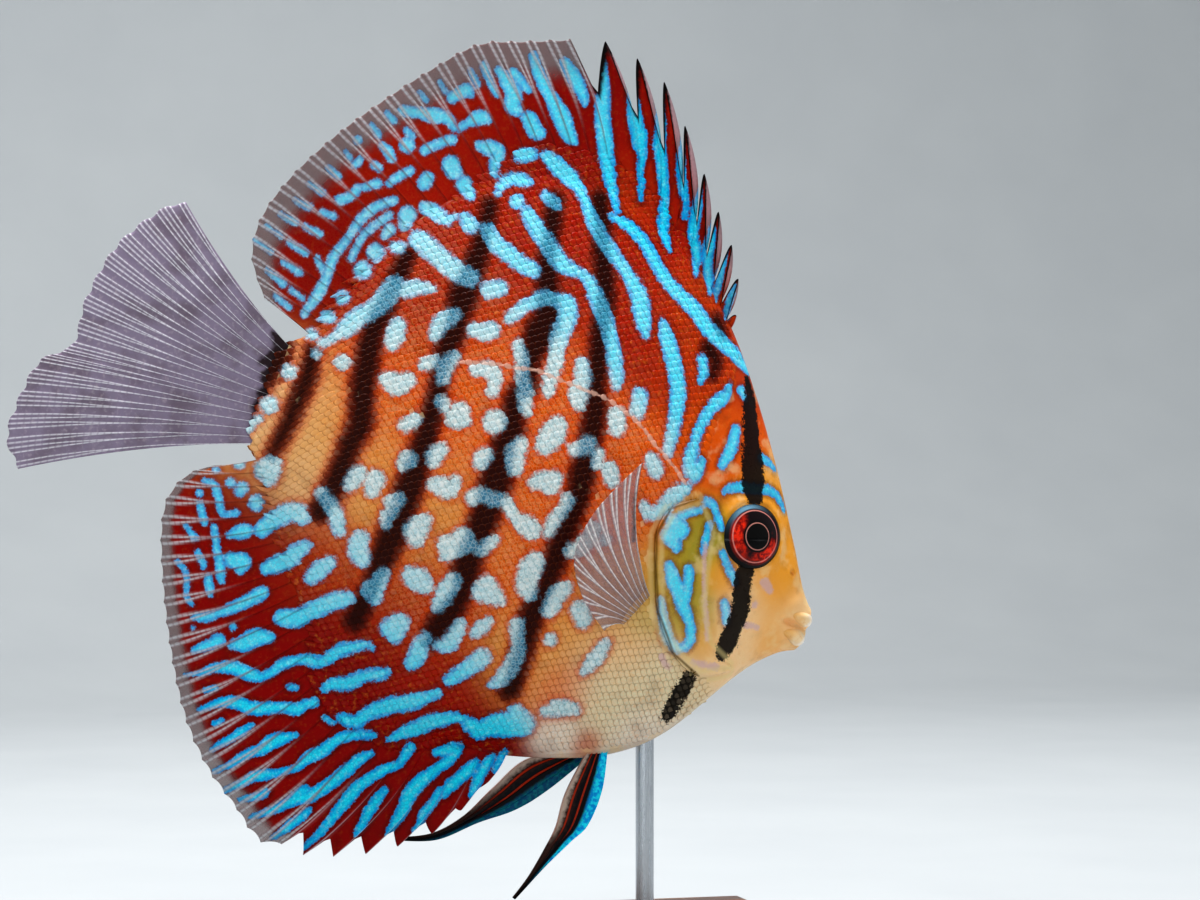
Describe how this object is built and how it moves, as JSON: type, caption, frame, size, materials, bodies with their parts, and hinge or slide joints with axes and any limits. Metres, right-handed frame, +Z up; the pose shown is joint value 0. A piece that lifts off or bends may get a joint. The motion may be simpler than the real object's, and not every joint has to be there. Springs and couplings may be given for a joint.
{
  "type": "discus fish display model",
  "caption": "Life-size still model of a turquoise discus fish, nose down with fins spread, held by a steel rod on a flat wooden base.",
  "frame": {"origin": "middle of the model's bounding box, at the underside of the stand's base", "axes": "+X towards the fish's snout, +Y to the fish's left, +Z up"},
  "size_m": [0.1769, 0.08, 0.2039],
  "materials": {
    "skin": "satin, scaled, red-orange with turquoise streaks",
    "gill_cover": "satin, olive gold with bright blue marks",
    "dorsal_fin": "thin membrane, blood red with blue rays",
    "anal_fin": "thin membrane, blood red with blue marks",
    "caudal_fin": "clear grey membrane with pale forked rays",
    "pectoral_fin": "clear membrane with dark red streaks",
    "pelvic_fin": "maroon and black with a blue front edge",
    "eye": "glossy, red iris and black pupil",
    "rod": "brushed",
    "base": "dark stained, waxed"
  },
  "bodies": {
    "root": {"head": "skin", "torso": "skin", "tail_base": "skin", "gill_cover_right": "gill_cover", "gill_cover_left": "gill_cover", "dorsal_fin": "dorsal_fin", "anal_fin": "anal_fin", "caudal_fin": "caudal_fin", "pectoral_fin_right": "pectoral_fin", "pectoral_fin_left": "pectoral_fin", "pelvic_fin_right": "pelvic_fin", "pelvic_fin_left": "pelvic_fin", "eye_right": "eye", "eye_left": "eye", "stand_rod": "rod", "stand_base": "base"}
  },
  "joints": []
}
